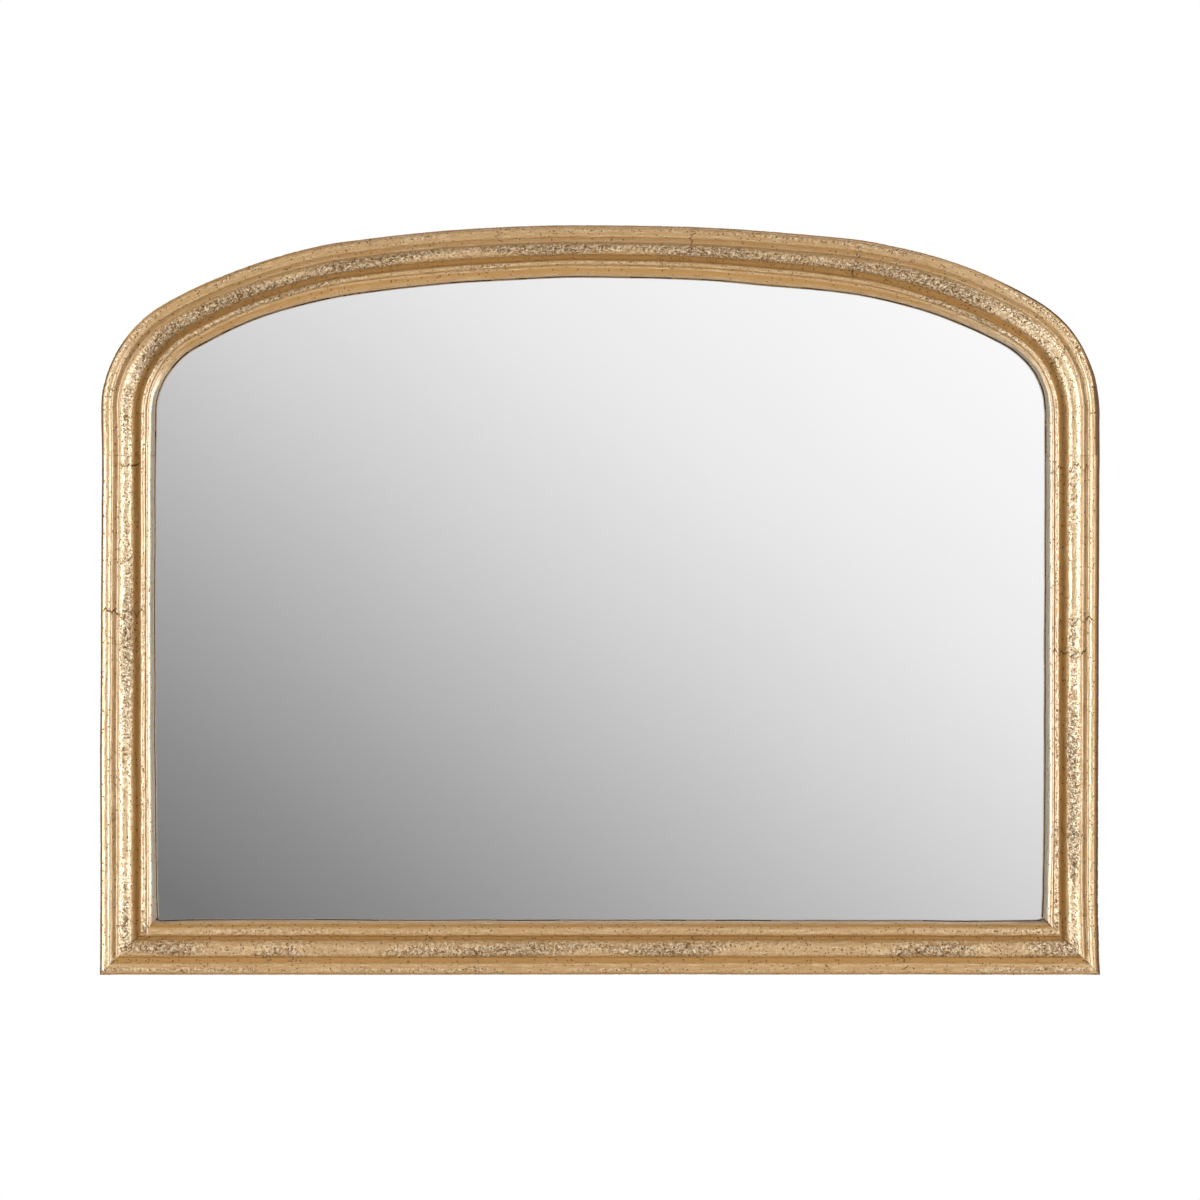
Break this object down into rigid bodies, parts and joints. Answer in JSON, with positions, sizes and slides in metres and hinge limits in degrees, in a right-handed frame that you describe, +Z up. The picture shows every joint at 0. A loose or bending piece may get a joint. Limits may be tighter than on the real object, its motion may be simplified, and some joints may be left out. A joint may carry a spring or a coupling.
{
  "type": "arched wall mirror",
  "caption": "Arched wall mirror in a deep moulded gilt wood frame, hung by strap hangers with D rings, its glass held by turn buttons.",
  "frame": {"origin": "middle of the bottom edge, halfway between the front of the moulding and the wall", "axes": "+X to the right seen from the front, +Y back to the wall, +Z up"},
  "size_m": [0.8, 0.0322, 0.6],
  "materials": {
    "gilded_wood": "rubbed metal leaf over gesso",
    "joinery_wood": "bare",
    "zinc_steel": "bright zinc plate",
    "nickel_steel": "nickel plate",
    "black_foam": "matte foam",
    "clear_glass": "polished",
    "silvering": "silvered, with a painted back",
    "brown_board": "smooth hardboard",
    "block_rubber": "matte",
    "bumper_rubber": "matte"
  },
  "bodies": {
    "frame": {"bottom_rail": "gilded_wood", "left_stile": "gilded_wood", "right_stile": "gilded_wood", "left_shoulder": "gilded_wood", "right_shoulder": "gilded_wood", "crown_rail": "gilded_wood", "loose_tenons": "joinery_wood", "mitre_v_nails": "zinc_steel", "glazing_tape": "black_foam", "mirror_glass": "clear_glass", "silvered_coating": "silvering", "backing_board": "brown_board", "setting_blocks": "block_rubber", "side_spacers": "block_rubber", "turn_button_screws": "zinc_steel", "hanger_screws": "zinc_steel", "left_hanger_strap": "nickel_steel", "left_wall_bumper": "bumper_rubber", "right_hanger_strap": "nickel_steel", "right_wall_bumper": "bumper_rubber"},
    "left_ring": {"left_hanger_ring": "nickel_steel"},
    "right_ring": {"right_hanger_ring": "nickel_steel"},
    "button_bottom_left": {"turn_button_bottom_left": "zinc_steel"},
    "button_bottom_centre": {"turn_button_bottom_centre": "zinc_steel"},
    "button_bottom_right": {"turn_button_bottom_right": "zinc_steel"},
    "button_left_lower": {"turn_button_left_lower": "zinc_steel"},
    "button_right_lower": {"turn_button_right_lower": "zinc_steel"},
    "button_left_upper": {"turn_button_left_upper": "zinc_steel"},
    "button_right_upper": {"turn_button_right_upper": "zinc_steel"},
    "button_arch_left": {"turn_button_arch_left": "zinc_steel"},
    "button_arch_right": {"turn_button_arch_right": "zinc_steel"},
    "button_crown": {"turn_button_crown": "zinc_steel"}
  },
  "joints": [
    {"name": "left_ring_swing", "type": "hinge", "parent": "frame", "child": "left_ring", "pos_m": [-0.3845, 0.01335, 0.39138], "axis": [-1, 0, 0], "range_deg": [0, 168]},
    {"name": "right_ring_swing", "type": "hinge", "parent": "frame", "child": "right_ring", "pos_m": [0.3845, 0.01335, 0.39138], "axis": [-1, 0, 0], "range_deg": [0, 168]},
    {"name": "button_bottom_left_turn", "type": "hinge", "parent": "frame", "child": "button_bottom_left", "pos_m": [-0.22, 0.01115, 0.025], "axis": [0, 1, 0], "continuous": true},
    {"name": "button_bottom_centre_turn", "type": "hinge", "parent": "frame", "child": "button_bottom_centre", "pos_m": [0, 0.01115, 0.025], "axis": [0, 1, 0], "continuous": true},
    {"name": "button_bottom_right_turn", "type": "hinge", "parent": "frame", "child": "button_bottom_right", "pos_m": [0.22, 0.01115, 0.025], "axis": [0, 1, 0], "continuous": true},
    {"name": "button_left_lower_turn", "type": "hinge", "parent": "frame", "child": "button_left_lower", "pos_m": [-0.375, 0.01115, 0.11284], "axis": [0, 1, 0], "continuous": true},
    {"name": "button_right_lower_turn", "type": "hinge", "parent": "frame", "child": "button_right_lower", "pos_m": [0.375, 0.01115, 0.11284], "axis": [0, 1, 0], "continuous": true},
    {"name": "button_left_upper_turn", "type": "hinge", "parent": "frame", "child": "button_left_upper", "pos_m": [-0.375, 0.01115, 0.2907], "axis": [0, 1, 0], "continuous": true},
    {"name": "button_right_upper_turn", "type": "hinge", "parent": "frame", "child": "button_right_upper", "pos_m": [0.375, 0.01115, 0.2907], "axis": [0, 1, 0], "continuous": true},
    {"name": "button_arch_left_turn", "type": "hinge", "parent": "frame", "child": "button_arch_left", "pos_m": [-0.2744, 0.01115, 0.54416], "axis": [0, 1, 0], "continuous": true},
    {"name": "button_arch_right_turn", "type": "hinge", "parent": "frame", "child": "button_arch_right", "pos_m": [0.2744, 0.01115, 0.54416], "axis": [0, 1, 0], "continuous": true},
    {"name": "button_crown_turn", "type": "hinge", "parent": "frame", "child": "button_crown", "pos_m": [0, 0.01115, 0.575], "axis": [0, 1, 0], "continuous": true}
  ]
}
